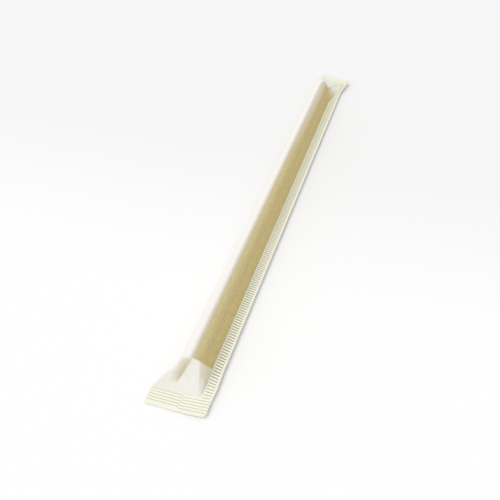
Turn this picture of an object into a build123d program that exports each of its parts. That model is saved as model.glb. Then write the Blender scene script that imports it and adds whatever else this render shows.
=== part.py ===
from build123d import *
import math
import os

# Drinking straw sealed in a paper wrapper, lying on a table.
# The straw runs along Y with its square end towards -Y, the side seam is towards +X and Z is up.

# Straw
straw_diameter = 11.0
straw_wall = 0.5
straw_length = 238.0
bevel_setback = 15.0
bevel_turn = 135.0

# Paper web: tube round the straw, fin seam beside it, flat seal at each end
paper_wall = 0.18
straw_clearance = 0.12
end_clearance = 0.3
seam_width = 4.7
seam_gap = 0.9
seam_root_height = 1.15
seam_edge_height = 1.8
seal_length = 7.3
near_gusset = 8.4
near_seal_height = 0.45
far_gusset = 12.0
far_edge_height = 3.0
far_ridge_height = 5.0
far_ridge_slope = 0.16
far_fold_height = 1.0
far_seal_drift = 3.75
unsealed_gap = 0.06
fold_tip_inset = 2.0
wing_inset = 4.5

# Flat strip of the web that lies on the table, left and right of the straw's middle
rest_left = 0.75
rest_right = 3.5

# Crimp ribs
rib_height = 0.2
seam_rib_pitch = 1.33
seam_inner_border = 0.4
seam_outer_border = 1.2
seal_rib_pitch = 1.22
seal_outer_border = 1.2
seal_crease_border = 0.3

# Where the folds leave the tube, in degrees round the straw from +X towards +Z
ridge_turn = 60.0
shoulder_turn = 120.0
fold_turn = 195.0
fold_spread = 10.0
belly_turn = 255.0

# Corners of the wrapper's outline, in order from the seam's edge over the straw and back underneath
SEAM_EDGE_TOP, SEAM_ROOT_TOP, WEB, RIDGE, SHOULDER, FOLD_TOP = range(6)
FOLD_BOTTOM, BELLY, REST_LEFT, REST_RIGHT, SEAM_ROOT_BOTTOM, SEAM_EDGE_BOTTOM = range(6, 12)

# Places of the same corners across a seal, as shares of the paper's width from the fold to the seam's root
NEAR_SHARES = {WEB: 0.99, RIDGE: 0.97, SHOULDER: 0.45, BELLY: 0.35, REST_LEFT: 0.6, REST_RIGHT: 0.85}
FAR_SHARES = {WEB: 0.985, RIDGE: 0.96, SHOULDER: 0.33, BELLY: 0.33, REST_LEFT: 0.6, REST_RIGHT: 0.85}

# Place of the crease along each seal, as a share of the same width
NEAR_SEAL_CREASE = 0.65
FAR_SEAL_CREASE = 0.33

# How far each corner has come from tube to seal, sideways and downwards, where the gusset creases
NEAR_CREASE = 0.39
NEAR_SPREAD = [0.39, 0.39, 0.39, 0.39, 0.56, 0.74, 0.74, 0.6, 0.39, 0.39, 0.39, 0.39]
NEAR_SETTLE = [0.39, 0.39, 0.39, 0.39, 0.88, 0.96, 0.96, 0.9, 0.39, 0.39, 0.39, 0.39]
FAR_CREASE = 0.3
FAR_SPREAD = [0.3] * 12
FAR_SETTLE = [0.3, 0.3, 0.65, 0.8, 0.3, 0.3, 0.3, 0.3, 0.3, 0.3, 0.3, 0.3]

# Sizes that follow from the ones above
straw_radius = straw_diameter / 2
cavity_radius = straw_radius + straw_clearance
tube_radius = cavity_radius + paper_wall
axis_height = tube_radius
crimp_depth = paper_wall + rib_height
seam_root = straw_radius + seam_gap
seam_edge = seam_root + seam_width
seam_tip_inset = 3 * paper_wall

near_seal_end = seal_length
near_crease_end = near_seal_end + near_gusset * (1 - NEAR_CREASE)
tube_start = near_seal_end + near_gusset
straw_start = tube_start + paper_wall + end_clearance
straw_tip = straw_start + straw_length
tube_end = straw_tip + end_clearance + paper_wall
far_crease_end = tube_end + far_gusset * FAR_CREASE
far_seal_start = tube_end + far_gusset
wrapper_length = far_seal_start + seal_length


def on_tube(turn, radius=tube_radius):
    """Point of the wrapper's outline on a circle round the straw."""
    angle = math.radians(turn)
    return (radius * math.cos(angle), axis_height + radius * math.sin(angle))


def web_turn(foot, radius):
    """Direction in which the line that rises from the foot touches that circle."""
    across = foot[0]
    below = foot[1] - axis_height
    return math.degrees(math.atan2(below, across) + math.acos(radius / math.hypot(across, below)))


def distance(start, end):
    return math.hypot(end[0] - start[0], end[1] - start[1])


web_foot = (seam_root, seam_root_height + paper_wall)
under_foot = (seam_root, seam_root_height - paper_wall)
outer_web_turn = web_turn(web_foot, tube_radius)
tube_outline = [
    (seam_edge, seam_edge_height + paper_wall),
    web_foot,
    on_tube(outer_web_turn),
    on_tube(ridge_turn),
    on_tube(shoulder_turn),
    on_tube(fold_turn - fold_spread / 2),
    on_tube(fold_turn + fold_spread / 2),
    on_tube(belly_turn),
    (-rest_left, 0),
    (rest_right, 0),
    under_foot,
    (seam_edge, seam_edge_height - paper_wall),
]
tube_arcs = {
    WEB: (outer_web_turn + ridge_turn) / 2,
    RIDGE: (ridge_turn + shoulder_turn) / 2,
    SHOULDER: (shoulder_turn + fold_turn - fold_spread / 2) / 2,
    FOLD_TOP: fold_turn,
    FOLD_BOTTOM: (fold_turn + fold_spread / 2 + belly_turn) / 2,
}

# Each layer of a seal is as wide as half the way round the tube, and the seam
around_tube = (
    distance(web_foot, on_tube(outer_web_turn))
    + tube_radius * math.radians(belly_turn - outer_web_turn)
    + distance(on_tube(belly_turn), (-rest_left, 0))
    + rest_left
    + rest_right
    + distance((rest_right, 0), under_foot)
)
layer_width = around_tube / 2
fold_edge = seam_root - layer_width
axis_x = -(fold_edge + seam_edge + far_seal_drift) / 2


def far_drift(along):
    """Sideways drift of the far flap at a place along the wrapper."""
    return far_seal_drift * (along - tube_end) / (wrapper_length - tube_end)


def section(along):
    """Plane across the wrapper at a place along it, with its origin on the table under the straw's middle."""
    return Plane(origin=(axis_x, along - wrapper_length / 2, 0), x_dir=(1, 0, 0), z_dir=(0, -1, 0))


def seal_line(crease, fold_height, crease_height, edge_height, drift):
    """Fold, crease and seam's edge of a seal, through the middle of its two layers.

    The paper keeps its width, so a raised crease brings the fold nearer to the seam.
    """
    wide = (1 - crease) * layer_width + seam_width
    narrow = crease * layer_width
    crease_across = seam_edge - math.sqrt(wide**2 - (crease_height - edge_height) ** 2)
    fold_across = crease_across - math.sqrt(narrow**2 - (crease_height - fold_height) ** 2)
    return [
        (fold_across + drift, fold_height),
        (crease_across + drift, crease_height),
        (seam_edge + drift, edge_height),
    ]


def seal_at(along):
    """Fold, crease and seam's edge of the seal at a place along the wrapper.

    The near seal lies flat, and the far one rises to a ridge that falls towards the wrapper's end.
    """
    if along < tube_start:
        return seal_line(NEAR_SEAL_CREASE, near_seal_height, near_seal_height, near_seal_height, 0)
    ridge_height = far_ridge_height + far_ridge_slope * (wrapper_length - along)
    return seal_line(FAR_SEAL_CREASE, far_fold_height, ridge_height, far_edge_height, far_drift(along))


def across_seal(seal, width):
    """Point of a seal's middle line at a width of paper from its fold."""
    fold, crease, edge = seal
    first = distance(fold, crease)
    if width <= first:
        return lerp(fold, crease, width / first)
    return lerp(crease, edge, (width - first) / distance(crease, edge))


def flat_outline(seal, shares):
    """Outline of the two layers of a seal."""
    corners = []
    for corner in range(len(tube_outline)):
        layer = paper_wall if corner < FOLD_BOTTOM else -paper_wall
        if corner in (SEAM_EDGE_TOP, SEAM_EDGE_BOTTOM):
            width = layer_width + seam_width
        elif corner in (SEAM_ROOT_TOP, SEAM_ROOT_BOTTOM):
            width = layer_width
        else:
            width = layer_width * shares.get(corner, 0)
        across, height = across_seal(seal, width)
        corners.append((across, height + layer))
    return corners


def crease_outline(flat, spread, settle):
    """Outline part of the way from the tube to a flat seal, where the gusset creases."""
    return [
        (start[0] + (end[0] - start[0]) * out, start[1] + (end[1] - start[1]) * down)
        for start, end, out, down in zip(tube_outline, flat, spread, settle)
    ]


def inside_corner(before, corner, after):
    """The corner moved in by the paper's thickness from the two edges that meet there."""
    first = (Vector(*corner) - Vector(*before)).normalized()
    second = (Vector(*after) - Vector(*corner)).normalized()
    inward = (Vector(-first.Y, first.X) + Vector(-second.Y, second.X)).normalized()
    reach = paper_wall / inward.dot(Vector(-first.Y, first.X))
    moved = Vector(*corner) + inward * reach
    return (moved.X, moved.Y)


def lerp(first, second, share):
    """Point a share of the way from one point to another."""
    return (first[0] + (second[0] - first[0]) * share, first[1] + (second[1] - first[1]) * share)


def middle(first, second):
    return lerp(first, second, 0.5)


def seam_tip(outline):
    """Point where the hollow ends beside the seam."""
    root = middle(outline[SEAM_ROOT_TOP], outline[SEAM_ROOT_BOTTOM])
    return (root[0] - seam_tip_inset, root[1])


def fold_tip(outline, inset):
    """Point where the hollow ends beside the fold."""
    fold = middle(outline[FOLD_TOP], outline[FOLD_BOTTOM])
    return (fold[0] + inset, fold[1])


def hollow_outline(outline, fold_inset):
    """Outline of the hollow inside a crease."""
    inner = [seam_tip(outline)]
    for corner in (WEB, RIDGE, SHOULDER):
        inner.append(inside_corner(outline[corner - 1], outline[corner], outline[corner + 1]))
    inner.append(fold_tip(outline, fold_inset))
    for corner in (BELLY, REST_LEFT, REST_RIGHT):
        inner.append(inside_corner(outline[corner - 1], outline[corner], outline[corner + 1]))
    return inner


def slit_outline(seal, shares):
    """Outline of the hollow where it runs out at a seal."""
    inner = [across_seal(seal, layer_width - seam_tip_inset)]
    for corner, inset, gap in (
        (WEB, seam_tip_inset, unsealed_gap),
        (RIDGE, seam_tip_inset, unsealed_gap),
        (SHOULDER, 0, unsealed_gap),
        (FOLD_TOP, -fold_tip_inset, 0),
        (BELLY, 0, -unsealed_gap),
        (REST_LEFT, 0, -unsealed_gap),
        (REST_RIGHT, 0, -unsealed_gap),
    ):
        across, height = across_seal(seal, layer_width * shares.get(corner, 0) - inset)
        inner.append((across, height + gap / 2))
    return inner


def profile(along, corners, arcs):
    """Face across the wrapper at a place along it, round the straw where arcs gives an edge's middle.

    Edges in line with each other stay apart, so that each fold runs from corner to corner.
    """
    edges = []
    for number, start in enumerate(corners):
        end = corners[(number + 1) % len(corners)]
        if number in arcs:
            edges.append(ThreePointArc(start, arcs[number], end))
        else:
            edges.append(Line(start, end))
    return section(along) * make_face(edges)


def crimp(plane, count, pitch, width):
    """Row of ribs pressed through both layers: they run along the plane's normal and repeat along its X."""
    crest = []
    for rib in range(count):
        crest += [(rib * pitch, 0), ((rib + 0.5) * pitch, crimp_depth)]
    crest.append((count * pitch, 0))
    trough = [(along, height - crimp_depth) for along, height in reversed(crest)]
    with BuildPart() as ribs:
        with BuildSketch(plane):
            with BuildLine():
                Polyline(*crest, *trough, close=True)
            make_face()
        extrude(amount=width)
    return ribs.part


def seam_crimp(start, start_outline, count, end_outline):
    """A number of ribs across the seam, from a place along it, between two outlines of the wrapper."""
    end = start + count * seam_rib_pitch
    roots = []
    edges = []
    for along, outline in ((start, start_outline), (end, end_outline)):
        root = middle(outline[SEAM_ROOT_TOP], outline[SEAM_ROOT_BOTTOM])
        edge = middle(outline[SEAM_EDGE_TOP], outline[SEAM_EDGE_BOTTOM])
        roots.append(section(along).from_local_coords(Vector(*root)))
        edges.append(section(along).from_local_coords(Vector(*edge)))
    lengthwise = (roots[1] + edges[1] - roots[0] - edges[0]).normalized()
    outward = edges[0] + edges[1] - roots[0] - roots[1]
    outward = (outward - lengthwise * outward.dot(lengthwise)).normalized()
    return crimp(
        Plane(origin=roots[0] + outward * seam_inner_border, x_dir=lengthwise, z_dir=outward),
        count,
        seam_rib_pitch,
        seam_width - seam_inner_border - seam_outer_border,
    )


def gusset_crimps(start, start_outline, end, end_outline):
    """Ribs across the seam beside a gusset, where each rib turns a little with the paper."""
    count = int((end - start) / seam_rib_pitch)
    outlines = []
    for rib in range(count + 1):
        share = rib * seam_rib_pitch / (end - start)
        outlines.append([lerp(first, last, share) for first, last in zip(start_outline, end_outline)])
    return [
        seam_crimp(start + rib * seam_rib_pitch, outlines[rib], 1, outlines[rib + 1])
        for rib in range(count)
    ]


def seal_crimp(start):
    """Ribs along the width of a seal, on each side of its crease and half a pitch apart there."""
    ribs = []
    count = int((seal_length - seal_outer_border) / seal_rib_pitch)
    for panel, copies in ((0, count), (1, count - 1)):
        for rib in range(copies):
            along = start + (rib + panel / 2) * seal_rib_pitch
            seal = seal_at(along)
            first = section(along).from_local_coords(Vector(*seal[panel]))
            last = section(along).from_local_coords(Vector(*seal[panel + 1]))
            outward = (last - first).normalized()
            inset = seal_crease_border * panel
            width = (last - first).length - seal_crease_border
            across = Plane(origin=first + outward * inset, x_dir=(0, 1, 0), z_dir=outward)
            ribs.append(crimp(across, 1, seal_rib_pitch, width))
    return ribs


inner_web_turn = web_turn(seam_tip(tube_outline), cavity_radius)
tube_hollow = [
    seam_tip(tube_outline),
    on_tube(inner_web_turn, cavity_radius),
    on_tube(ridge_turn, cavity_radius),
    on_tube(shoulder_turn, cavity_radius),
    on_tube(fold_turn, cavity_radius),
    on_tube(belly_turn, cavity_radius),
    (-rest_left, paper_wall),
    (rest_right, paper_wall),
]
outer_arcs = {edge: on_tube(turn) for edge, turn in tube_arcs.items()}
inner_arcs = {
    1: on_tube((inner_web_turn + ridge_turn) / 2, cavity_radius),
    2: on_tube((ridge_turn + shoulder_turn) / 2, cavity_radius),
    3: on_tube((shoulder_turn + fold_turn) / 2, cavity_radius),
    4: on_tube((fold_turn + belly_turn) / 2, cavity_radius),
}

near_flat = flat_outline(seal_at(near_seal_end), NEAR_SHARES)
near_crease = crease_outline(near_flat, NEAR_SPREAD, NEAR_SETTLE)
far_flat = flat_outline(seal_at(far_seal_start), FAR_SHARES)
far_rim = flat_outline(seal_at(wrapper_length), FAR_SHARES)
far_crease = crease_outline(far_flat, FAR_SPREAD, FAR_SETTLE)

near_sections = [
    profile(0, near_flat, {}),
    profile(near_seal_end, near_flat, {}),
    profile(near_crease_end, near_crease, {}),
    profile(tube_start, tube_outline, outer_arcs),
]
far_sections = [
    profile(tube_end, tube_outline, outer_arcs),
    profile(far_crease_end, far_crease, {}),
    profile(far_seal_start, far_flat, {}),
    profile(wrapper_length, far_rim, {}),
]
near_hollows = [
    profile(near_seal_end + paper_wall, slit_outline(seal_at(near_seal_end), NEAR_SHARES), {}),
    profile(near_crease_end + paper_wall, hollow_outline(near_crease, wing_inset), {}),
    profile(tube_start + paper_wall, tube_hollow, inner_arcs),
]
far_hollows = [
    profile(tube_end - paper_wall, tube_hollow, inner_arcs),
    profile(far_crease_end - paper_wall, hollow_outline(far_crease, fold_tip_inset), {}),
    profile(far_seal_start - paper_wall, slit_outline(seal_at(far_seal_start), FAR_SHARES), {}),
]

# Hollow that the straw lies in: the tube and a gusset at each end
with BuildPart() as hollow:
    extrude(near_hollows[-1], amount=-(tube_end - tube_start - 2 * paper_wall))
    loft(near_hollows, ruled=True)
    loft(far_hollows, ruled=True)

crimps = [
    *gusset_crimps(near_seal_end, near_flat, tube_start, tube_outline),
    seam_crimp(tube_start, tube_outline, int((tube_end - tube_start) / seam_rib_pitch), tube_outline),
    *gusset_crimps(tube_end, tube_outline, far_seal_start, far_flat),
    *seal_crimp(seal_outer_border),
    *seal_crimp(far_seal_start),
]

with BuildPart() as paper_wrapper:
    extrude(near_sections[-1], amount=-(tube_end - tube_start))
    loft(near_sections, ruled=True)
    loft(far_sections, ruled=True)
    add(hollow.part, mode=Mode.SUBTRACT)
    add(crimps)

# The bevel leaves the straw's upper left side longest
bevel_angle = math.radians(bevel_turn)
bevel_slope = bevel_setback / straw_diameter
bevel = Plane(
    origin=section(straw_tip - bevel_setback / 2).from_local_coords(Vector(0, axis_height)),
    z_dir=(-bevel_slope * math.cos(bevel_angle), 1, -bevel_slope * math.sin(bevel_angle)),
)

with BuildPart() as drinking_straw:
    with BuildSketch(section(straw_start)):
        with Locations((0, axis_height)):
            Circle(straw_radius)
            Circle(straw_radius - straw_wall, mode=Mode.SUBTRACT)
    extrude(amount=-straw_length)
    split(bisect_by=bevel, keep=Keep.BOTTOM)

os.makedirs("parts", exist_ok=True)
paper_wrapper.part.label = "paper_wrapper"
export_step(paper_wrapper.part, "parts/paper_wrapper.step")
drinking_straw.part.label = "drinking_straw"
export_step(drinking_straw.part, "parts/drinking_straw.step")
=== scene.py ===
import math

import bpy
import numpy as np
from bpy.props import FloatProperty, FloatVectorProperty, PointerProperty
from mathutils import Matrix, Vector


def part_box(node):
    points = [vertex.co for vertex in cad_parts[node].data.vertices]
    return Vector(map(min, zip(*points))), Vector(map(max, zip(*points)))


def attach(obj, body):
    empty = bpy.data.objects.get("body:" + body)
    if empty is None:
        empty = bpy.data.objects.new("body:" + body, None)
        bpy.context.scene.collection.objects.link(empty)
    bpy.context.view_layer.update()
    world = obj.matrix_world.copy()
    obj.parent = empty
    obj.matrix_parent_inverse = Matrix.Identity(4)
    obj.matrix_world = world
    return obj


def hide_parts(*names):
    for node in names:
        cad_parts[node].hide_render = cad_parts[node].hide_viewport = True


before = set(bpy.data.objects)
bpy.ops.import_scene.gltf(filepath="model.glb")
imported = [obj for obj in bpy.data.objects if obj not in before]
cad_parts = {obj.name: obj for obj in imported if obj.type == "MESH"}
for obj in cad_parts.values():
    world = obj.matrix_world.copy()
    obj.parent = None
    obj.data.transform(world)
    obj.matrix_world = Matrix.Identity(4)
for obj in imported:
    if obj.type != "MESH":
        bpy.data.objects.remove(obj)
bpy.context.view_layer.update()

bl_info = {
    "name": "Wrapped drinking straw",
    "version": (1, 0, 0),
    "blender": (4, 5, 0),
    "location": "View3D > Sidebar > Straw",
    "description": "A drinking straw sealed in thin translucent paper, and the stage it lies on",
    "category": "Add Mesh",
}

MM = 0.001

# Places read from the frame: the straw's middle line and ends, and the wrapper's edges
STRAW_LOW, STRAW_HIGH = (np.array(corner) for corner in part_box("drinking_straw"))
PAPER_LOW, PAPER_HIGH = (np.array(corner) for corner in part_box("paper_wrapper"))
AXIS_X, _, AXIS_Z = (STRAW_LOW + STRAW_HIGH) / 2
STRAW_RADIUS = float(STRAW_HIGH[2] - STRAW_LOW[2]) / 2
NEAR_EDGE = PAPER_LOW[1]
PAPER_LENGTH = float(PAPER_HIGH[1] - NEAR_EDGE)
STRAW_START = float(STRAW_LOW[1] - NEAR_EDGE)
STRAW_TIP = float(STRAW_HIGH[1] - NEAR_EDGE)

# Corners of one layer of the wrapper, in order from the seam's edge to the fold
SEAM_EDGE, SEAM_ROOT, FIRST, SECOND, THIRD, FOLD = range(6)
COLUMNS_PER_SPAN = (4, 6, 11, 8, 10)
UPPER, LOWER = 1, -1

# Rows of the wrapper to each rib and in a seal's plain border, and the decimals of their places
ROWS_PER_RIB, BORDER_ROWS, PLACE_DIGITS = 4, 4, 7

# Contrast of the crimp's painted highlight on crests and painted shade in grooves, in the end seals and
# along the seam at places from the near edge
SEAL_PAINTED_CONTRAST = 0.32
RIB_PLACES = (7 * MM, 16 * MM, 24 * MM, 80 * MM, 125 * MM, 246 * MM, 257 * MM)
RIB_PAINTED_CONTRAST = (0.32, 0.5, 1, 0.76, 0.17, 0.15, 0.05)

# Where the ribs grow faint, their strip is a little darker all over: how much, and where that comes in
FAINT_RIB_DARKENING = 0.2
FAINT_RIB_RUN = 80 * MM, 125 * MM

# The straw's grid, and how many chamfers of a lip go into its wall
STRAW_COLUMNS, STRAW_ROWS, LIPS_IN_WALL = 96, 40, 5

# From where to where the floor's painted light falloff makes it darker, along the straw; the camera's
# sensor in millimetres
FLOOR_FADE = -90 * MM, 50 * MM
SENSOR_WIDTH = 36
SHARP_ANGLE = math.radians(40)


def length(name, description, default):
    """A size in metres that a user would change."""
    return FloatProperty(name=name, description=description, default=default, unit="LENGTH", precision=5)


def share(name, description, default):
    """A part of a whole, from nothing to all of it."""
    return FloatProperty(
        name=name, description=description, default=default, min=0, max=1, subtype="FACTOR"
    )


def angle(name, description, degrees):
    return FloatProperty(
        name=name, description=description, default=math.radians(degrees), subtype="ANGLE"
    )


def colour(name, description, default):
    return FloatVectorProperty(
        name=name, description=description, default=default, size=3, min=0, max=1, subtype="COLOR"
    )


class StrawSettings(bpy.types.PropertyGroup):
    """Sizes and colours of the straw."""

    wall: length("Wall", "Thickness of the straw's wall", 0.5 * MM)
    bevel_setback: length("Bevel setback", "How much shorter the straw's short side is", 15 * MM)
    bevel_turn: angle("Bevel turn", "Direction of the bevel's tip, from the seam upwards", 135)
    outer_ply: colour("Outer ply", "Golden tan of the outside", (0.675, 0.56, 0.10))
    outer_shade: colour("Outer shade", "Browner clouds of the outside", (0.64, 0.51, 0.088))
    outer_fleck: colour("Outer fleck", "Darker fibres of the outside", (0.565, 0.43, 0.072))
    inner_ply: colour("Inner ply", "Cream of the inside and the cut edges", (0.88, 0.84, 0.70))


class WrapperSettings(bpy.types.PropertyGroup):
    """Sizes and colours of the paper wrapper."""

    clearance: length("Clearance", "From the straw to the outside of the paper round it", 0.3 * MM)
    end_clearance: length("End clearance", "From the straw's ends to where the paper folds in", 0.48 * MM)
    layer: length("Layer", "Thickness of one layer of paper in a seal", 0.1 * MM)
    fold_rise: length("Fold rise", "How far the fold along the tube stands off the straw", 0.35 * MM)
    seam_width: length("Seam width", "Width of the fin seam beside the straw", 4.35 * MM)
    seam_gap: length("Seam gap", "From the straw's side to the seam's root", 1.25 * MM)
    seam_root_height: length("Seam root height", "Height of the seam where it leaves the tube", 2.2 * MM)
    seam_edge_height: length("Seam edge height", "Height of the seam's free edge", 1.9 * MM)
    seal_length: length("Seal length", "Length of the flat seal at each end", 7.3 * MM)
    near_gusset: length("Near gusset", "From the near seal to the tube", 8.4 * MM)
    near_seal_height: length("Near seal height", "Height of the near seal above the table", 0.45 * MM)
    near_corner: length("Near corner", "Radius of the near seal's corner at the seam", 1.1 * MM)
    far_gusset: length("Far gusset", "From the tube to the far seal", 12 * MM)
    far_edge_height: length("Far edge height", "Height of the far seal at the seam's edge", 3 * MM)
    far_ridge_height: length("Far ridge height", "Height of the far seal's ridge at its end", 5 * MM)
    far_ridge_slope: FloatProperty(
        name="Far ridge slope", default=0.16,
        description="How steeply the far seal's ridge falls towards the end",
    )
    far_fold_height: length("Far fold height", "Height of the far seal at the fold", 1 * MM)
    far_seal_drift: length("Far seal drift", "How far the far seal swings towards the seam", 3.75 * MM)
    crumple: length("Crumple", "Height of the soft creases in the gussets", 0.18 * MM)
    pleat: length("Pleat", "Height of the pleat where the far flap folds off the tube", 0.35 * MM)
    rest_left: length("Rest left", "Flat strip on the table, away from the seam", 0.75 * MM)
    rest_right: length("Rest right", "Flat strip on the table, towards the seam", 3.5 * MM)
    rib_height: length("Rib height", "Height of the crimp ribs", 0.3 * MM)
    rib_slant: length("Rib slant", "How much nearer the seam's ribs are at its edge", 0.7 * MM)
    seam_rib_pitch: length("Seam rib pitch", "From rib to rib along the seam", 1.33 * MM)
    seam_inner_border: length("Seam inner border", "Plain strip at the seam's root", 0.4 * MM)
    seam_outer_border: length("Seam outer border", "Plain strip at the seam's edge", 0.9 * MM)
    seal_rib_pitch: length("Seal rib pitch", "From rib to rib along an end seal", 1.22 * MM)
    seal_outer_border: length("Seal outer border", "Plain strip at the wrapper's ends", 1.2 * MM)
    paper: colour("Paper", "Warm white of the paper", (0.895, 0.885, 0.83))
    paper_shade: colour("Paper shade", "Denser clouds in the paper", (0.87, 0.855, 0.79))
    # The slack colour is a painted highlight on the paper that stands off along the fold
    slack_highlight_paper: colour("Highlighted_slack paper", "Paper that stands off along the fold", (0.985, 0.95, 0.90))
    # The bonded colour is denser paper where two layers are pressed, made brighter as painted light against
    # the tube's shade
    bonded_and_lit: colour("Bonded_and_lit paper", "Two layers pressed together", (0.95, 0.95, 0.80))
    # The crest colour is a painted highlight on the ribs, and the groove colour is painted shade between
    # them
    crest: colour("Crest", "Ribs that catch the light", (1.0, 0.995, 0.89))
    groove: colour("Painted_groove_shade", "Paper pressed thin between the ribs", (0.44, 0.435, 0.30))
    # These two colours are painted tan light on the paper beside and past the straw, for the light that
    # comes off it, and painted shade before its open end
    painted_bounce_and_shade: colour("Painted_bounce_and_shade", "Paper beside the straw, in the light that comes off it", (0.725, 0.59, 0.275))
    painted_bounce_and_shade_fleck: colour("Stain fleck", "Denser fibres in the paper beside the straw", (0.63, 0.495, 0.205))
    touching_opacity: share("Opacity on the straw", "How much the paper hides what it touches", 0.28)
    free_opacity: share("Opacity off the straw", "How much the paper hides what it stands away from", 0.96)


class StageSettings(bpy.types.PropertyGroup):
    """Floor, light and camera."""

    floor_near: colour("Floor near", "Floor in front of the straw", (0.995, 0.995, 0.995))
    floor_far: colour("Floor far", "Floor behind the straw", (0.925, 0.925, 0.925))
    floor_size: length("Floor size", "Side of the floor", 6.0)
    sky: FloatProperty(name="Sky", description="Strength of the soft light from all round", default=0.72)
    key: FloatProperty(name="Key", description="Strength of the key lamp", default=0.98)
    key_height: angle("Key height", "Height of the key lamp over the floor", 65)
    key_turn: angle("Key turn", "Direction of the key lamp, from the straw's far end to its left", 140)
    key_softness: angle("Key softness", "Apparent width of the key lamp", 40)
    camera_place: FloatVectorProperty(
        name="Camera place", description="Where the camera stands", size=3, subtype="TRANSLATION",
        default=(0.05606, -0.23265, 0.17924),
    )
    camera_tilt: angle("Camera tilt", "Tilt up from straight down", 47.395)
    camera_turn: angle("Camera turn", "Turn to the left of the straw's direction", 17.274)
    focal_length: FloatProperty(
        name="Focal length", default=40.17, subtype="DISTANCE_CAMERA",
        description="Lens of the camera on a 36 mm sensor",
    )


def smoothstep(value, start, end):
    """0 before start, 1 after end, and 3t^2 - 2t^3 in between, where t is the way from one to the other."""
    way = np.clip((value - start) / (end - start), 0, 1)
    return way * way * (3 - 2 * way)


def plateau(value, start, end, ramp):
    """1 between start and end, falling to 0 over a ramp outside them."""
    return smoothstep(value, start - ramp, start) * (1 - smoothstep(value, end, end + ramp))


def hump(value, middle, width):
    """A bell, exp(-t^2), where t is the distance from the middle in widths."""
    return np.exp(-(((value - middle) / width) ** 2))


def on_circle(turn, radius):
    """Points of a circle round the straw, as distance sideways from its middle and height."""
    return np.stack([radius * np.cos(turn), AXIS_Z + radius * np.sin(turn)], axis=-1)


def tangent_turn(foot, radius):
    """Direction in which the line that rises from the foot touches the circle round the straw."""
    across, below = foot[0], foot[1] - AXIS_Z
    return math.atan2(below, across) + math.acos(radius / math.hypot(across, below))


def bevel_end(straw, turn):
    """Place along where the straw's wall ends: tip - setback (1 - cos(turn - tip's turn)) / 2."""
    return STRAW_TIP - straw.bevel_setback * (1 - np.cos(turn - straw.bevel_turn)) / 2


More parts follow.
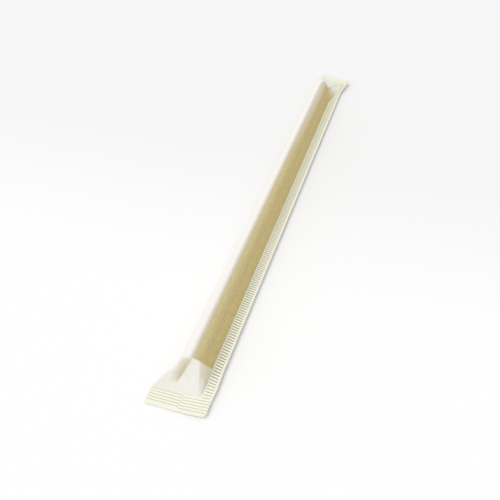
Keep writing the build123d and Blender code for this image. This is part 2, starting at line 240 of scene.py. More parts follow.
class WrapperFolds:
    """Where the wrapper's folds lie at each place along it, for its upper and its lower layer.

    A layer has six corners from the seam's edge to the fold, and columns at even steps from each corner to
    the next. A point is (sideways, height). Round the straw the last spans are arcs, in a seal the layer
    follows the seal's line, and at the near crease each corner is part of the way from one to the other.
    """

    # Directions round the straw, from the seam upwards
    RIDGE_TURN, SHOULDER_TURN, FOLD_TURN, FOLD_SPREAD, BELLY_TURN = np.radians((62, 82, 195, 10, 255))
    FOLD_REACH, FACET_TURN, PLEAT_TURN = np.radians((45, 30, 45))
    # In a seal: the corners from the first to the fold, and the crease, as shares of the layer's width
    NEAR_SHARES = {UPPER: (0.99, 0.97, 0.45, 0), LOWER: (0.85, 0.6, 0.35, 0)}
    FAR_SHARES = {UPPER: (0.985, 0.96, 0.33, 0), LOWER: (0.85, 0.6, 0.33, 0)}
    NEAR_SEAL_CREASE, FAR_SEAL_CREASE = 0.65, 0.33
    # At the near crease: its share of the gusset, and how far each corner has gone sideways and downwards
    NEAR_CREASE = 0.39
    SEAM_SIDE = (NEAR_CREASE,) * 4
    NEAR_SPREAD = {UPPER: (*SEAM_SIDE, 0.91, 0.64), LOWER: (*SEAM_SIDE, 0.6, 0.64)}
    NEAR_SETTLE = {UPPER: (*SEAM_SIDE, 0.91, 0.92), LOWER: (*SEAM_SIDE, 0.9, 0.92)}
    VALLEY_LEAD, WING_LEAD, WING_TUCK = 1.0 * MM, 1.9 * MM, 0.7 * MM
    # Half the step, in corners, between the two columns at a border of a crimp
    BORDER_STEP = 0.013
    # Where the near facet ends past the tube's start, and where the far pleat starts past the tube's end
    FACET_AT_EDGE, FACET_AT_ROOT, FACET_AT_WEB = 4.8 * MM, 3.6 * MM, 0.9 * MM
    PLEAT_AT_EDGE, PLEAT_AT_ROOT, PLEAT_AT_WEB = 2.2 * MM, 0.6 * MM, -3.4 * MM
    # Sideways shifts of the seam's edge and its root, and the run over which the seam widens at the pleat
    SEAM_NEAR, SEAM_FAR = (-0.5 * MM, -0.4 * MM), (0.6 * MM, 0.2 * MM)
    SEAM_AT_PLEAT = 0.7 * MM, 2.5 * MM
    PLEAT_RUN = 14 * MM

    def __init__(self, sizes, straw):
        self.sizes = sizes
        self.straw = straw
        self.radius = STRAW_RADIUS + sizes.clearance
        self.seam_root = STRAW_RADIUS + sizes.seam_gap
        self.seam_edge = self.seam_root + sizes.seam_width
        self.layer_width = self.seam_root - (float(PAPER_LOW[0]) - AXIS_X)
        self.tube_start = sizes.seal_length + sizes.near_gusset
        self.near_crease = self.tube_start - sizes.near_gusset * self.NEAR_CREASE
        self.far_seal = PAPER_LENGTH - sizes.seal_length
        self.tube_end = self.far_seal - sizes.far_gusset
        self.place = self.columns()

    def columns(self):
        """Places of the columns, in corners: even steps in a span, and a close pair at a crimp's border."""
        sizes = self.sizes
        outer = sizes.seam_outer_border / sizes.seam_width
        inner = 1 - sizes.seam_inner_border / sizes.seam_width
        corners = np.arange(FIRST, FOLD + 1)
        creases = [
            np.interp(-self.NEAR_SEAL_CREASE, -np.array(self.NEAR_SHARES[side]), corners)
            for side in (UPPER, LOWER)
        ]
        borders = np.array([outer, inner, SEAM_ROOT, *creases])
        pairs = [borders - self.BORDER_STEP, borders + self.BORDER_STEP]
        steps = [span + np.arange(count) / count for span, count in enumerate(COLUMNS_PER_SPAN)]
        return np.unique(np.concatenate([*steps, *pairs, [FOLD]]))

    def foot(self, side):
        """Corner where the seam leaves the tube."""
        return self.seam_root, self.sizes.seam_root_height + side * self.sizes.layer

    def turns(self, side):
        """The first corner on the circle round the straw, and the directions of it and the next ones."""
        if side == UPPER:
            web_turn = tangent_turn(self.foot(UPPER), self.radius)
            fold_turn = self.FOLD_TURN - self.FOLD_SPREAD / 2
            return FIRST, (web_turn, self.RIDGE_TURN, self.SHOULDER_TURN, fold_turn)
        return THIRD, (self.BELLY_TURN, self.FOLD_TURN + self.FOLD_SPREAD / 2)

    def column_turns(self, side):
        """Direction of each column on the circle round the straw; columns before it get its first one."""
        first, turns = self.turns(side)
        return np.interp(self.place, np.arange(first, FOLD + 1), turns)

    def tube_corners(self, side):
        """Corners of a layer round the straw."""
        _, turns = self.turns(side)
        seam = [(self.seam_edge, self.sizes.seam_edge_height + side * self.sizes.layer), self.foot(side)]
        rest = [] if side == UPPER else [(self.sizes.rest_right, 0), (-self.sizes.rest_left, 0)]
        return np.array([*seam, *rest, *on_circle(np.array(turns), self.radius)])

    def spread(self, corners):
        """Columns on straight lines from corner to corner."""
        index = np.arange(FOLD + 1)
        return np.stack([np.interp(self.place, index, corners[:, axis]) for axis in range(2)], axis=-1)

    def tube_layer(self, side, seam_shift):
        """A layer round the straw, on the circle where it touches, with a low crease along the fold.

        The seam's edge and its root are moved sideways by the two lengths of the seam's shift.
        """
        corners = self.tube_corners(side)
        corners[[SEAM_EDGE, SEAM_ROOT], 0] += seam_shift
        points = self.spread(corners)
        first, _ = self.turns(side)
        touching = self.place >= first
        turn = self.column_turns(side)[touching]
        rise = np.clip(1 - np.abs(turn - self.FOLD_TURN) / self.FOLD_REACH, 0, 1) ** 2
        points[touching] = on_circle(turn, (self.radius + self.sizes.fold_rise * rise))
        return points

    def seal_line(self, crease, fold_height, crease_height, edge_height, drift):
        """Fold, crease and seam's edge of a seal; a raised crease brings the fold nearer to the seam."""
        wide = (1 - crease) * self.layer_width + self.sizes.seam_width
        narrow = crease * self.layer_width
        edge = self.seam_edge + drift
        middle = edge - math.sqrt(wide**2 - (crease_height - edge_height) ** 2)
        fold = middle - math.sqrt(narrow**2 - (crease_height - fold_height) ** 2)
        line = np.array([(fold, fold_height), (middle, crease_height), (edge, edge_height)])
        return np.array([0, narrow, narrow + wide]), line

    def paper_width(self, shares):
        """Width of paper from the fold to each column in a seal."""
        corners = [self.layer_width + self.sizes.seam_width, self.layer_width]
        corners += [self.layer_width * part for part in shares]
        return np.interp(self.place, np.arange(FOLD + 1), corners)

    def seal_layer(self, side, shares, widths, line):
        """A layer on a seal's line, at each column's own width of paper from the fold."""
        width = self.paper_width(shares)
        points = np.stack([np.interp(width, widths, line[:, axis]) for axis in range(2)], axis=-1)
        return points + (0, side * self.sizes.layer)

    def near_seal_layer(self, side):
        """A layer of the near seal, flat up to its crease and rising from there to the seam's edge."""
        flat, edge = self.sizes.near_seal_height, self.sizes.seam_edge_height
        line = self.seal_line(self.NEAR_SEAL_CREASE, flat, flat, edge, self.SEAM_NEAR[0])
        return self.seal_layer(side, self.NEAR_SHARES[side], *line)

    def far_seal_layer(self, side, along):
        """A layer of the far seal, whose ridge falls and swings towards the seam on its way out."""
        sizes = self.sizes
        ridge = sizes.far_ridge_height + sizes.far_ridge_slope * (PAPER_LENGTH - along)
        drift = sizes.far_seal_drift * (along - self.tube_end) / (PAPER_LENGTH - self.tube_end)
        heights = sizes.far_fold_height, ridge, sizes.far_edge_height
        line = self.seal_line(self.FAR_SEAL_CREASE, *heights, drift)
        return self.seal_layer(side, self.FAR_SHARES[side], *line)

    def near_crease_layer(self, side):
        """A layer at the near crease: each corner has gone its own way sideways and downwards."""
        tube = self.tube_corners(side)
        corner_columns = np.searchsorted(self.place, np.arange(FOLD + 1))
        flat = self.near_seal_layer(side)[corner_columns]
        shares = np.stack([self.NEAR_SPREAD[side], self.NEAR_SETTLE[side]], axis=-1)
        return self.spread(tube + (flat - tube) * shares)

    def gusset_end(self, side):
        """Place along where each column comes from the near gusset to the tube: later beside the seam."""
        seam = [self.FACET_AT_EDGE, self.FACET_AT_ROOT]
        if side == LOWER:
            places = [SEAM_EDGE, SEAM_ROOT, FIRST, THIRD, FOLD]
            ends = [*seam, 0, 0, self.WING_TUCK]
        else:
            facet_place = np.interp(self.FACET_TURN, self.column_turns(UPPER), self.place)
            places = [SEAM_EDGE, SEAM_ROOT, FIRST, facet_place, (THIRD + FOLD) / 2, FOLD]
            ends = [*seam, self.FACET_AT_WEB, 0, 0, self.WING_TUCK]
        return self.tube_start + np.interp(self.place, places, ends)

    def crease_places(self):
        """Place along where each column has the near crease: further on in the valley and the wing."""
        leads = [0, self.VALLEY_LEAD, self.WING_LEAD]
        return self.near_crease + np.interp(self.place, [SECOND, THIRD, FOLD], leads)

    def flap_start(self, side):
        """Place along at which each column leaves the tube for the far flap.

        The upper layer follows the straw's bevel down to the pleat, and from there the pleat runs back to
        the seam's edge. The lower layer leaves the tube straight across.
        """
        seam = [self.tube_end + self.PLEAT_AT_EDGE, self.tube_end + self.PLEAT_AT_ROOT]
        if side == LOWER:
            return np.interp(self.place, [SEAM_EDGE, SEAM_ROOT, FIRST], [*seam, self.tube_end])
        turn = self.column_turns(UPPER)
        bevel_turn = np.clip(turn, self.PLEAT_TURN, self.straw.bevel_turn)
        bevel = bevel_end(self.straw, bevel_turn) + self.sizes.end_clearance
        pleat_place = np.interp(self.PLEAT_TURN, turn, self.place)
        pleat_end = bevel_end(self.straw, self.PLEAT_TURN) + self.sizes.end_clearance
        places = [SEAM_EDGE, SEAM_ROOT, FIRST, pleat_place]
        pleat = np.interp(self.place, places, [*seam, self.tube_end + self.PLEAT_AT_WEB, pleat_end])
        return np.where(self.place < pleat_place, pleat, bevel)

    def stations(self, side):
        """Places along the wrapper for each column, and the layer's points there."""
        sizes = self.sizes
        steady = np.ones_like(self.place)
        places = [
            0 * steady,
            sizes.seal_length * steady,
            self.crease_places(),
            self.gusset_end(side),
            self.flap_start(side) - self.PLEAT_RUN,
            self.flap_start(side),
            self.far_seal * steady,
            PAPER_LENGTH * steady,
        ]
        layers = [
            self.near_seal_layer(side),
            self.near_seal_layer(side),
            self.near_crease_layer(side),
            self.tube_layer(side, self.SEAM_NEAR),
            self.tube_layer(side, self.SEAM_FAR),
            self.tube_layer(side, self.SEAM_AT_PLEAT),
            self.far_seal_layer(side, self.far_seal),
            self.far_seal_layer(side, PAPER_LENGTH),
        ]
        return np.array(places), np.array(layers)


def rows_along(folds):
    """Places of the rows: one on each crest and in each groove, and twice as many in the gussets."""
    sizes = folds.sizes
    crimped = sizes.seal_length - sizes.seal_outer_border
    seal_steps = np.arange(0, crimped, sizes.seal_rib_pitch / ROWS_PER_RIB)
    border = np.linspace(0, sizes.seal_outer_border, BORDER_ROWS)
    fine_end = float(folds.gusset_end(UPPER).max())
    flap = float(folds.flap_start(UPPER).min())
    fine = np.arange(0, PAPER_LENGTH, sizes.seam_rib_pitch / (2 * ROWS_PER_RIB))
    coarse = fine[::2]
    runs = [
        border,
        sizes.seal_outer_border + seal_steps,
        fine[(fine > sizes.seal_length) & (fine < fine_end)],
        [folds.near_crease],
        coarse[(coarse >= fine_end) & (coarse < flap)],
        fine[(fine >= flap) & (fine < folds.far_seal)],
        folds.far_seal + seal_steps,
        PAPER_LENGTH - border,
    ]
    return np.unique(np.round(np.concatenate(runs), PLACE_DIGITS))


def folded_layer(folds, side, along):
    """One layer as (rows, columns, sideways and height).

    Each column starts at its first station's point and adds, for each later station, the step to it times
    the share of that step which the row has covered, so it runs straight from station to station.
    """
    places, layers = folds.stations(side)
    covered = np.clip((along[:, None, None] - places[:-1]) / np.diff(places, axis=0), 0, 1)
    return layers[0] + np.einsum("rsc,sck->rck", covered, np.diff(layers, axis=0))


# The pleat's crest and the dip before it, past the line where the flap leaves the tube: place and width
CREST_PLACE, CREST_WIDTH = 1.1 * MM, 0.9 * MM
DIP_PLACE, DIP_WIDTH, DIP_SHARE = -0.5 * MM, 0.5 * MM, 0.5
# Where the pleat rises at the seam, in corners, and how far round the straw it dies out
PLEAT_ROOT = SEAM_ROOT - 0.3, SEAM_ROOT + 0.6
PLEAT_FADE = math.radians(35)


def raise_pleat(folds, along, upper):
    """Lifts the upper layer into a pleat past the line where the flap leaves the tube.

    The lift is a bell at the crest less a lower bell at the dip.
    """
    past = along[:, None] - folds.flap_start(UPPER)
    profile = hump(past, CREST_PLACE, CREST_WIDTH) - DIP_SHARE * hump(past, DIP_PLACE, DIP_WIDTH)
    turn = folds.column_turns(UPPER)
    reach = smoothstep(folds.place, *PLEAT_ROOT)
    reach = reach * (1 - smoothstep(turn, folds.PLEAT_TURN, folds.PLEAT_TURN + PLEAT_FADE))
    upper[..., 1] += folds.sizes.pleat * profile * reach


# Two sets of soft creases: waves from corner to corner, a wave's length along, phase and share of height
CREASE_WAVES = (1.7, 9 * MM, 0, 0.6), (2.3, -7 * MM, 1, 0.4)
# Where the creases fade out: along the gussets, and from corner to corner with the ramp
CREASE_MARGIN = 2 * MM
CREASE_CORNERS = FIRST + 0.3, THIRD + 0.4, 0.3


def crumple(folds, along):
    """Height of the soft creases in the upper layer of each gusset.

    They are sums of sines of the place across and the place along, so that they run on a slant from the
    tube to the seal, and they fade out at the tube, at the seal, at the seam and towards the fold.
    """
    place, row = folds.place[None, :], along[:, None]
    margin = CREASE_MARGIN
    near_run = plateau(row, folds.sizes.seal_length + margin, folds.tube_start - margin, margin)
    far_run = plateau(row, folds.flap_start(UPPER) + margin, folds.far_seal - margin, margin)
    creases = sum(
        part * np.sin(2 * np.pi * (waves * place + row / wave_length) + phase)
        for waves, wave_length, phase, part in CREASE_WAVES
    )
    return folds.sizes.crumple * creases * plateau(place, *CREASE_CORNERS) * (near_run + far_run)


def seam_crimp(folds, along):
    """True in the crimped strip of the seam, between its borders and between the end seals."""
    sizes = folds.sizes
    from_edge = folds.place * sizes.seam_width
    band = (from_edge > sizes.seam_outer_border) & (from_edge < sizes.seam_width - sizes.seam_inner_border)
    open_run = (along > sizes.seal_length) & (along < folds.far_seal)
    return band[None, :] & open_run[:, None]


def crimp_wave(folds, side, along):
    """Height of the crimp in a layer, from -1 in a groove to 1 on a rib, and 0 where the paper is plain.

    Along the seam the wave is sin(2 pi along / pitch) between the seam's borders. In a seal it is the same
    with the seal's pitch, across the whole width, and half a pitch further on beyond the seal's crease.
    """
    sizes = folds.sizes
    wave = np.sin(2 * np.pi * along / sizes.seam_rib_pitch)[:, None] * seam_crimp(folds, along)
    for first, shares, crease in (
        (sizes.seal_outer_border, folds.NEAR_SHARES[side], folds.NEAR_SEAL_CREASE),
        (folds.far_seal, folds.FAR_SHARES[side], folds.FAR_SEAL_CREASE),
    ):
        last = first + sizes.seal_length - sizes.seal_outer_border
        in_seal = ((along >= first) & (along <= last))[:, None]
        beyond = folds.paper_width(shares) > crease * folds.layer_width
        phase = 2 * np.pi * (along - first)[:, None] / sizes.seal_rib_pitch + np.pi * beyond[None, :]
        wave = wave + np.sin(phase) * in_seal
    return wave


# Where the paper lifts off the straw, past its near end and past its far end
NEAR_LIFT = -0.5 * MM, 0.3 * MM
FAR_LIFT = -1.3 * MM, 0.7 * MM
# How far before the bevel its look starts, and the directions in degrees over which it ends on top
BEVEL_BLUR = 1.2 * MM
BEVEL_SIDE = 80, 105
# In front of the straw's open end, by direction in degrees: how much more shows through, and how much
# painted tan shade it gets
BORE_TURNS = 7, 50, 60, 82, 92, 122, 160
BORE_SHEER = 0.15, 0.15, 0, 0, 0.34, 0.2, 0
BORE_PAINTED_SHADE = 0.38, 0.38, 0, 0, 0.6, 0.3, 0
# Where that starts past the near crease, where it ends before the rim on top, and its ramp
BORE_LEAD, RIM_MARGIN, BORE_RAMP = 1.2 * MM, 1.5 * MM, 4 * MM
# The slack paper with its painted highlight, in degrees, in the middle and at the far end: where it starts,
# its ramp, and where it ends
SLACK_START, SLACK_RAMP = 113, 40
FAR_SLACK_START, FAR_SLACK_RAMP = 95, 18
SLACK_END = 235
# Where the far end's slack comes in, and how much less slack there is underneath
FAR_SLACK_RUN = STRAW_TIP - 10 * MM, STRAW_TIP - 2 * MM
UNDERSIDE, UNDERSIDE_LOSS = (160, 200), 0.35
# How much the paper hides beside the straw, past its bevel, and where it lies looser towards the far end
BESIDE_COVER, BEVEL_COVER, LOOSE_COVER = 0.8, 0.95, 0.42
LOOSE_RUN = 0.4 * PAPER_LENGTH, 0.85 * PAPER_LENGTH
# Directions in degrees over which the cover and the painted tan light beside the straw end
COVER_TURNS, BOUNCE_TURNS = (20, 82), (32, 88)
# Where the painted tan light starts at the seam, and where the pleat gets less of it: in corners, along,
# and by how much
BOUNCE_ROOT = SEAM_ROOT, SEAM_ROOT + 0.15
PLEAT_BOUNCE_CORNERS, PLEAT_BOUNCE_LEAD, PLEAT_BOUNCE_LOSS = (FIRST - 0.4, FIRST + 0.4), 10 * MM, 0.7


def off_the_straw(folds, side, along):
    """1 where the paper has left the straw at either end, and 0 where it lies on it."""
    clearance = folds.sizes.end_clearance
    past_near = folds.gusset_end(side) + clearance - along[:, None]
    past_far = along[:, None] - folds.flap_start(side) + clearance
    return smoothstep(past_near, *NEAR_LIFT) + smoothstep(past_far, *FAR_LIFT)


def beside_the_straw(folds, side, start, end):
    """1 where the upper layer comes down beside the straw, fading out from start to end in degrees."""
    if side == LOWER:
        return np.zeros_like(folds.place)
    turn = np.degrees(folds.column_turns(UPPER))
    return (folds.place > SEAM_ROOT) * (1 - smoothstep(turn, start, end))


def past_the_bevel(folds, side, along):
    """1 where the upper layer lies over the gap that the straw's bevel leaves towards the seam."""
    if side == LOWER:
        return np.zeros((len(along), len(folds.place)))
    turn = folds.column_turns(UPPER)
    seam_side = 1 - smoothstep(np.degrees(turn), *BEVEL_SIDE)
    return smoothstep(along[:, None] - bevel_end(folds.straw, turn), -BEVEL_BLUR, 0) * seam_side


def before_the_bore(folds, side, along, values):
    """Values by direction in front of the straw's open end, fading out towards the near seal."""
    if side == LOWER:
        return np.zeros((len(along), len(folds.place)))
    turn = folds.column_turns(UPPER)
    on_top = turn > folds.SHOULDER_TURN
    rim = np.where(on_top, folds.tube_start - RIM_MARGIN, folds.gusset_end(UPPER))
    reach = plateau(along[:, None], folds.near_crease + BORE_LEAD, rim, BORE_RAMP)
    return reach * np.interp(np.degrees(turn), BORE_TURNS, values)


def slack_and_highlight(folds, side, along):
    """1 beside the fold, where the paper stands off the straw and gets a painted highlight, and 0 where it
    lies on it.
    """
    turn = np.degrees(folds.column_turns(side))
    far_end = smoothstep(along, *FAR_SLACK_RUN)[:, None]
    start = SLACK_START + (FAR_SLACK_START - SLACK_START) * far_end
    ramp = SLACK_RAMP + (FAR_SLACK_RAMP - SLACK_RAMP) * far_end
    return plateau(turn, start, SLACK_END, ramp) * (1 - UNDERSIDE_LOSS * smoothstep(turn, *UNDERSIDE))


def paper_cover(folds, side, along):
    """How much the paper hides what is under it: 0 where it touches the straw, 1 where it stands off.

    It stands off past the straw's ends, in the seam and the seals, and beside the fold, and it lies looser
    towards the far end. In front of the straw's open end it lets some of the dark bore through, apart from
    the facet between the two ridges.
    """
    free = off_the_straw(folds, side, along)
    looser = LOOSE_COVER * smoothstep(along, *LOOSE_RUN)[:, None]
    beside = BESIDE_COVER * beside_the_straw(folds, side, *COVER_TURNS)
    held = np.maximum.reduce([
        slack_and_highlight(folds, side, along),
        np.broadcast_to(beside, free.shape),
        BEVEL_COVER * past_the_bevel(folds, side, along),
        np.broadcast_to(looser, free.shape),
    ])
    sheer = before_the_bore(folds, side, along, BORE_SHEER)
    cover = held + (1 - sheer - held) * free
    return np.where(folds.place <= SEAM_ROOT, 1, cover)


def painted_bounce_and_shade_share(folds, side, along):
    """How much the paper is painted with tan light, for the light that comes off the straw beside it or
    behind it, and with tan shade before its open end.

    It does so in the web beside the straw, past the bevel and before the bore, and less in the far pleat.
    """
    free = off_the_straw(folds, side, along)
    beside = beside_the_straw(folds, side, *BOUNCE_TURNS) * smoothstep(folds.place, *BOUNCE_ROOT)
    flap = folds.flap_start(side)
    pleat = smoothstep(along[:, None], flap - PLEAT_BOUNCE_LEAD, flap)
    pleat = pleat * (1 - smoothstep(folds.place, *PLEAT_BOUNCE_CORNERS))
    web = np.maximum(beside, past_the_bevel(folds, side, along)) * (1 - free) * (1 - PLEAT_BOUNCE_LOSS * pleat)
    bore = before_the_bore(folds, side, along, BORE_PAINTED_SHADE)
    return np.maximum(web, bore * free) * (folds.place > SEAM_ROOT)


def add_piece(name, points, faces, attributes, material):
    """A mesh object with its points in the part's own frame, and a value for each in each attribute."""
    mesh = bpy.data.meshes.new(name)
    mesh.from_pydata(points.reshape(-1, 3).tolist(), [], faces.tolist())
    for label, values in attributes.items():
        layer = mesh.attributes.new(label, "FLOAT", "POINT")
        layer.data.foreach_set("value", np.ascontiguousarray(values, np.float32).ravel())
    mesh.shade_smooth()
    mesh.set_sharp_from_angle(angle=SHARP_ANGLE)
    mesh.materials.append(material)
    piece = bpy.data.objects.new(name, mesh)
    bpy.context.scene.collection.objects.link(piece)
    return piece


def ring_faces(rows, columns, close_rows=False):
    """Four-sided faces of a grid whose columns close into a ring, and its rows too if asked."""
    index = np.arange(rows * columns).reshape(rows, columns)
    after = np.roll(index, -1, axis=0) if close_rows else index[1:]
    before = index if close_rows else index[:-1]
    return np.stack(
        [before, after, np.roll(after, -1, axis=1), np.roll(before, -1, axis=1)], axis=-1
    ).reshape(-1, 4)


def end_faces(first, columns, outward):
    """Narrow faces that close a row of the wrapper between its upper and lower layer."""
    half = columns // 2
    upper = first + np.arange(half)
    lower = first + columns - 1 - np.arange(half)
    faces = np.stack([upper[:-1], upper[1:], lower[1:], lower[:-1]], axis=-1)
    return faces if outward else faces[:, ::-1]


def rounded_corner(folds, along):
    """Shift of the rows that rounds the near seal's corner at the seam.

    At a distance d from the seam's edge the near rim moves in by r - sqrt(r^2 - (r - d)^2), and rows behind
    it move less and less, until twice the radius along.
    """
    radius = folds.sizes.near_corner
    inside = np.clip(folds.place * folds.sizes.seam_width, 0, radius)
    inset = radius - np.sqrt(radius**2 - (radius - inside) ** 2)
    return inset * np.clip(1 - along / (2 * radius), 0, 1)[:, None]


# How far before the tube's end the seam's ribs start to straighten, and how much of the bonded colour,
# partly painted light, the far flap gets
SLANT_MARGIN = 6 * MM
FLAP_BOND_AND_LIGHT, FLAP_RUN = 0.7, 4 * MM


def rib_slant(folds, along):
    """Shift of the rows to the near end that slants the seam's ribs, evenly from its root to its edge."""
    sizes = folds.sizes
    ramp = folds.tube_start - sizes.seal_length
    run = plateau(along, folds.tube_start, folds.tube_end - SLANT_MARGIN, ramp)[:, None]
    return -sizes.rib_slant * np.clip(SEAM_ROOT - folds.place, 0, 1) * run


def around(upper, lower):
    """Both layers' values in one ring of columns: from the seam over the top to the fold, and back."""
    return np.concatenate([upper, lower[:, ::-1]], axis=1)


def build_wrapper(sizes, straw, material):
    """The wrapper's outside as one closed skin: rows along it, columns round both layers."""
    folds = WrapperFolds(sizes, straw)
    along = rows_along(folds)
    upper = folded_layer(folds, UPPER, along)
    lower = folded_layer(folds, LOWER, along)
    raise_pleat(folds, along, upper)
    upper[..., 1] += crumple(folds, along)
    waves = {side: crimp_wave(folds, side, along) for side in (UPPER, LOWER)}
    upper[..., 1] += waves[UPPER] * sizes.rib_height / 2
    lower[..., 1] += waves[LOWER] * sizes.rib_height / 2
    ring = around(upper, lower)
    row_places = along[:, None] + rounded_corner(folds, along) + rib_slant(folds, along)
    places = around(row_places, row_places)
    rows, columns = ring.shape[:2]
    points = np.stack([ring[..., 0] + AXIS_X, places + NEAR_EDGE, ring[..., 1]], axis=-1)
    faces = np.concatenate([
        ring_faces(rows, columns),
        end_faces(0, columns, True),
        end_faces((rows - 1) * columns, columns, False),
    ])
    in_seal = (along <= sizes.seal_length) | (along >= folds.far_seal)
    in_flap = smoothstep(along[:, None] - folds.flap_start(UPPER), 0, FLAP_RUN)
    # Bonded paper takes the bonded colour, which is partly painted light
    bonded_and_lit = np.maximum((folds.place <= SEAM_ROOT)[None, :] | in_seal[:, None], FLAP_BOND_AND_LIGHT * in_flap)
    fading = np.interp(along, RIB_PLACES, RIB_PAINTED_CONTRAST)
    painted_contrast = np.where(in_seal, SEAL_PAINTED_CONTRAST, fading)[:, None]
    even = FAINT_RIB_DARKENING * smoothstep(along, *FAINT_RIB_RUN)[:, None] * seam_crimp(folds, along)
    on_straw = {side: 1 - off_the_straw(folds, side, along) for side in waves}
    attributes = {
        # The rib attribute carries the crimp's painted highlight and painted shade
        "rib": around(*(waves[side] * painted_contrast - even for side in waves)),
        "bond_and_light": around(bonded_and_lit, bonded_and_lit),
        # The paper along the fold is brighter here: a painted highlight
        "slack_and_highlight": around(*(slack_and_highlight(folds, side, along) * on_straw[side] for side in waves)),
        # Painted tan bounce light beside and past the straw, and painted shade before its open end
        "painted_bounce_and_shade": around(*(painted_bounce_and_shade_share(folds, side, along) for side in waves)),
        "cover": around(*(paper_cover(folds, side, along) for side in waves)),
    }
    piece = add_piece("wrapper_paper", points, faces, attributes, material)
    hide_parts("paper_wrapper")
    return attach(piece, "root")


def build_straw(straw, material):
    """The straw as a closed ring of rows: up the outside, over the bevelled lip, down the inside and back.

    Each row is a circle round the middle line, and its places along run evenly from the near cut to the
    bevel's own place in that direction. The lips' edges are broken by a small chamfer.
    """
    way = np.linspace(0, 1, STRAW_ROWS)
    lip = straw.wall / LIPS_IN_WALL
    inner = STRAW_RADIUS - straw.wall
    chamfer = lip * (1 - 2 * way)
    ways = np.concatenate([way, [1, 1], way[::-1], [0, 0]])
    insets = np.concatenate([chamfer, [0, 0], chamfer[::-1], [0, 0]])
    radii = np.concatenate([
        np.full_like(way, STRAW_RADIUS),
        [STRAW_RADIUS - lip, inner + lip],
        np.full_like(way, inner),
        [inner + lip, STRAW_RADIUS - lip],
    ])
    outside = np.arange(len(ways)) < len(way)
    turn = np.linspace(0, 2 * np.pi, STRAW_COLUMNS, endpoint=False)
    end = bevel_end(straw, turn)
    along = STRAW_START + (end[None, :] - STRAW_START) * ways[:, None] + insets[:, None]
    across = on_circle(turn[None, :], radii[:, None])
    points = np.stack([across[..., 0] + AXIS_X, along + NEAR_EDGE, across[..., 1]], axis=-1)
    attributes = {"outer_ply": np.broadcast_to(outside[:, None], along.shape)}
    faces = ring_faces(len(ways), STRAW_COLUMNS, close_rows=True)
    piece = add_piece("straw_tube", points, faces, attributes, material)
    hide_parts("drinking_straw")
    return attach(piece, "root")


def paper_pulp_group():
    """Node group with the look of paper pulp: soft clouds where it is denser, and fine fibres."""
    name = "paper_pulp"
    if name in bpy.data.node_groups:
        return bpy.data.node_groups[name]
    group = bpy.data.node_groups.new(name, "ShaderNodeTree")
    group.interface.new_socket("Vector", in_out="INPUT", socket_type="NodeSocketVector")
    for label, default in (("Cloud Scale", 300.0), ("Fibre Scale", 1500.0)):
        socket = group.interface.new_socket(label, in_out="INPUT", socket_type="NodeSocketFloat")
        socket.default_value = default
    for label in ("Cloud", "Fibre"):
        group.interface.new_socket(label, in_out="OUTPUT", socket_type="NodeSocketFloat")
    nodes, links = group.nodes, group.links
    start = nodes.new("NodeGroupInput")
    finish = nodes.new("NodeGroupOutput")
    for label, detail in (("Cloud", 3.0), ("Fibre", 5.0)):
        noise = nodes.new("ShaderNodeTexNoise")
        noise.inputs["Detail"].default_value = detail
        links.new(start.outputs["Vector"], noise.inputs["Vector"])
        links.new(start.outputs[f"{label} Scale"], noise.inputs["Scale"])
        links.new(noise.outputs["Fac"], finish.inputs[label])
    return group


class Shader:
    """A new material with a Principled shader, and short ways to add and join its nodes."""

    def __init__(self, name):
        self.material = bpy.data.materials.new(name)
        self.material.use_nodes = True
        self.tree = self.material.node_tree
        self.surface = self.tree.nodes["Principled BSDF"]

    def add(self, kind, **inputs):
        node = self.tree.nodes.new(kind)
        for label, value in inputs.items():
            self.set(node.inputs[label.replace("_", " ")], value)
        return node

    def set(self, socket, value):
        """Joins the socket to an output, or gives it a plain value."""
        if isinstance(value, bpy.types.NodeSocket):
            self.tree.links.new(value, socket)
        else:
            socket.default_value = value

    def own_coordinates(self):
        return self.add("ShaderNodeTexCoord").outputs["Object"]

    def pulp(self, cloud_scale, fibre_scale):
        """The paper pulp group on the piece's own coordinates."""
        node = self.add("ShaderNodeGroup")
        node.node_tree = paper_pulp_group()
        self.set(node.inputs["Vector"], self.own_coordinates())
        self.set(node.inputs["Cloud Scale"], cloud_scale)
        self.set(node.inputs["Fibre Scale"], fibre_scale)
        return node

    def attribute(self, name):
        node = self.add("ShaderNodeAttribute")
        node.attribute_name = name
        return node.outputs["Fac"]

    def between(self, value, low, high, at_low, at_high):
        """The value's way from low to high, turned into a number from at_low to at_high."""
        node = self.add("ShaderNodeMapRange")
        node.interpolation_type = "SMOOTHSTEP"
        limits = {"From Min": low, "From Max": high, "To Min": at_low, "To Max": at_high}
        for label, number in limits.items():
            self.set(node.inputs[label], number)
        self.set(node.inputs["Value"], value)
        return node.outputs["Result"]

    def mask(self, value, start, end):
        """0 up to the start, 1 from the end on, and smooth between them."""
        return self.between(value, low=start, high=end, at_low=0.0, at_high=1.0)

    def blend(self, factor, first, second):
        """A mix of two colours."""
        node = self.tree.nodes.new("ShaderNodeMix")
        node.data_type = "RGBA"
        self.set(node.inputs["Factor"], factor)
        self.set(node.inputs["A"], first)
        self.set(node.inputs["B"], second)
        return node.outputs["Result"]

    def bump(self, height, distance, strength):
        node = self.add("ShaderNodeBump", Height=height, Distance=distance, Strength=strength)
        self.set(self.surface.inputs["Normal"], node.outputs["Normal"])


def rgba(value):
    return (*value, 1.0)


# The pulp's noise from thin to dense and in its darker fibres, and how much the paper's opacity follows it
PULP_RANGE, FLECK_RANGE = (0.3, 0.7), (0.42, 0.62)
OPACITY_SWING = 0.02


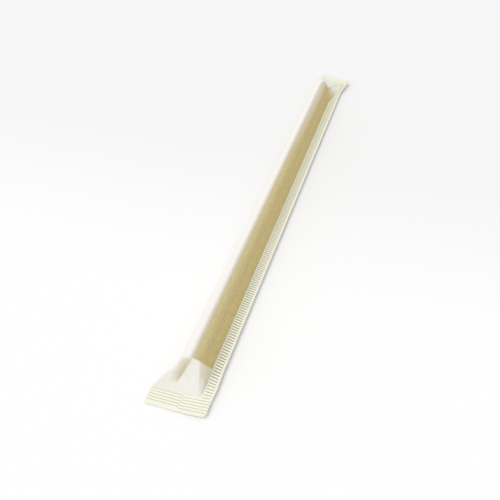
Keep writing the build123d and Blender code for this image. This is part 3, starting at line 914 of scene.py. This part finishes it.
def wrapper_material(sizes):
    """Thin translucent paper: see-through where it touches the straw, with painted shade in the crimp's
    grooves and a painted highlight on its crests.
    """
    shader = Shader("translucent_paper")
    surface = shader.surface
    pulp = shader.pulp(cloud_scale=350, fibre_scale=1100)
    cloud, fibre = pulp.outputs["Cloud"], pulp.outputs["Fibre"]
    cloudy = shader.mask(cloud, start=0.35, end=0.7)
    plain = shader.blend(cloudy, rgba(sizes.paper), rgba(sizes.paper_shade))
    # Painted highlight on the slack paper along the fold
    slack_highlighted = shader.blend(shader.attribute("slack_and_highlight"), plain, rgba(sizes.slack_highlight_paper))
    fleck = shader.mask(fibre, *FLECK_RANGE)
    # Painted tan bounce light and painted shade, with darker fibres in it
    lit = shader.blend(fleck, rgba(sizes.painted_bounce_and_shade), rgba(sizes.painted_bounce_and_shade_fleck))
    bounce_tinted = shader.blend(shader.attribute("painted_bounce_and_shade"), slack_highlighted, lit)
    # Bonded paper colour: partly real, partly painted light
    pressed = shader.blend(shader.attribute("bond_and_light"), bounce_tinted, rgba(sizes.bonded_and_lit))
    rib = shader.attribute("rib")
    # Painted highlight on the crests and painted shade in the grooves
    raised = shader.blend(shader.mask(rib, start=0.05, end=0.5), pressed, rgba(sizes.crest))
    groove = shader.between(rib, low=-0.5, high=0.0, at_low=1.0, at_high=0.0)
    shader.set(surface.inputs["Base Color"], shader.blend(groove, raised, rgba(sizes.groove)))
    roughness = shader.between(fibre, *PULP_RANGE, at_low=0.6, at_high=0.8)
    shader.set(surface.inputs["Roughness"], roughness)
    surface.inputs["Specular IOR Level"].default_value = 0.3
    least, most = sizes.touching_opacity - OPACITY_SWING, sizes.touching_opacity + OPACITY_SWING
    thin = shader.between(cloud, *PULP_RANGE, least, most)
    cover = shader.attribute("cover")
    opacity = shader.between(cover, low=0.0, high=1.0, at_low=thin, at_high=sizes.free_opacity)
    shader.set(surface.inputs["Alpha"], opacity)
    shader.bump(fibre, distance=0.04 * MM, strength=0.2)
    return shader.material


def straw_material(straw):
    """Golden tan board with browner clouds and darker fibres, and cream inside and on the cut edges."""
    shader = Shader("straw_board")
    surface = shader.surface
    pulp = shader.pulp(cloud_scale=140, fibre_scale=1000)
    cloud, fibre = pulp.outputs["Cloud"], pulp.outputs["Fibre"]
    cloudy = shader.mask(cloud, start=0.38, end=0.62)
    shaded = shader.blend(cloudy, rgba(straw.outer_ply), rgba(straw.outer_shade))
    fleck = shader.mask(fibre, *FLECK_RANGE)
    outside = shader.blend(fleck, shaded, rgba(straw.outer_fleck))
    ply = shader.attribute("outer_ply")
    shader.set(surface.inputs["Base Color"], shader.blend(ply, rgba(straw.inner_ply), outside))
    roughness = shader.between(cloud, *PULP_RANGE, at_low=0.45, at_high=0.65)
    shader.set(surface.inputs["Roughness"], roughness)
    shader.bump(fibre, distance=0.03 * MM, strength=0.2)
    return shader.material


def build_floor(stage):
    """A flat floor whose colour is a little brighter in front of the straw than behind it: a painted
    falloff of the light.
    """
    shader = Shader("pale_floor")
    split = shader.add("ShaderNodeSeparateXYZ", Vector=shader.own_coordinates())
    depth = shader.mask(split.outputs["Y"], *FLOOR_FADE)
    tone = shader.blend(depth, rgba(stage.floor_near), rgba(stage.floor_far))
    shader.set(shader.surface.inputs["Base Color"], tone)
    shader.surface.inputs["Roughness"].default_value = 0.9
    shader.surface.inputs["Specular IOR Level"].default_value = 0.0
    reach = stage.floor_size / 2
    points = np.array([(-reach, -reach, 0), (reach, -reach, 0), (reach, reach, 0), (-reach, reach, 0)])
    floor = add_piece("floor", points, np.array([[0, 1, 2, 3]]), {}, shader.material)


def build_light(stage):
    """Soft light from all round, and a broad key lamp high up on the left, towards the straw's near end."""
    world = bpy.data.worlds.new("soft_sky")
    world.use_nodes = True
    background = world.node_tree.nodes["Background"]
    background.inputs["Color"].default_value = (1, 1, 1, 1)
    background.inputs["Strength"].default_value = stage.sky
    bpy.context.scene.world = world
    lamp = bpy.data.lights.new("key_lamp", "SUN")
    lamp.energy = stage.key
    lamp.angle = stage.key_softness
    key = bpy.data.objects.new("key_lamp", lamp)
    level = math.cos(stage.key_height)
    towards = Vector((
        -level * math.sin(stage.key_turn),
        level * math.cos(stage.key_turn),
        math.sin(stage.key_height),
    ))
    key.rotation_euler = towards.to_track_quat("Z", "Y").to_euler()
    bpy.context.scene.collection.objects.link(key)


def build_camera(stage):
    """The camera at the photograph's viewing angle."""
    lens = bpy.data.cameras.new("camera")
    lens.lens = stage.focal_length
    lens.sensor_width = SENSOR_WIDTH
    lens.clip_start = 10 * MM
    camera = bpy.data.objects.new("camera", lens)
    camera.location = stage.camera_place
    camera.rotation_euler = (stage.camera_tilt, 0, stage.camera_turn)
    bpy.context.scene.collection.objects.link(camera)
    bpy.context.scene.camera = camera


class MESH_OT_straw_tube(bpy.types.Operator):
    """Add the drinking straw."""

    bl_idname = "mesh.straw_tube"
    bl_label = "Straw"

    def execute(self, context):
        straw = context.scene.straw_settings
        build_straw(straw, straw_material(straw))
        return {"FINISHED"}


class MESH_OT_straw_wrapper(bpy.types.Operator):
    """Add the paper wrapper round the straw."""

    bl_idname = "mesh.straw_wrapper"
    bl_label = "Paper wrapper"

    def execute(self, context):
        sizes = context.scene.wrapper_settings
        build_wrapper(sizes, context.scene.straw_settings, wrapper_material(sizes))
        return {"FINISHED"}


class SCENE_OT_straw_stage(bpy.types.Operator):
    """Add the floor, the light and the camera."""

    bl_idname = "scene.straw_stage"
    bl_label = "Stage"

    def execute(self, context):
        stage = context.scene.stage_settings
        build_floor(stage)
        build_light(stage)
        build_camera(stage)
        context.scene.view_settings.view_transform = "Standard"
        return {"FINISHED"}


class VIEW3D_PT_wrapped_straw(bpy.types.Panel):
    """Lists the pieces of the wrapped straw."""

    bl_label = "Wrapped straw"
    bl_space_type = "VIEW_3D"
    bl_region_type = "UI"
    bl_category = "Straw"

    def draw(self, context):
        for operator in (MESH_OT_straw_tube, MESH_OT_straw_wrapper, SCENE_OT_straw_stage):
            self.layout.operator(operator.bl_idname)


CLASSES = (
    StrawSettings,
    WrapperSettings,
    StageSettings,
    MESH_OT_straw_tube,
    MESH_OT_straw_wrapper,
    SCENE_OT_straw_stage,
    VIEW3D_PT_wrapped_straw,
)
SETTINGS = {
    "straw_settings": StrawSettings,
    "wrapper_settings": WrapperSettings,
    "stage_settings": StageSettings,
}


def register():
    for entry in CLASSES:
        bpy.utils.register_class(entry)
    for name, group in SETTINGS.items():
        setattr(bpy.types.Scene, name, PointerProperty(type=group))


def unregister():
    for name in SETTINGS:
        delattr(bpy.types.Scene, name)
    for entry in reversed(CLASSES):
        bpy.utils.unregister_class(entry)


def main():
    register()
    bpy.ops.mesh.straw_tube()
    bpy.ops.mesh.straw_wrapper()
    bpy.ops.scene.straw_stage()


if __name__ == "__main__":
    main()
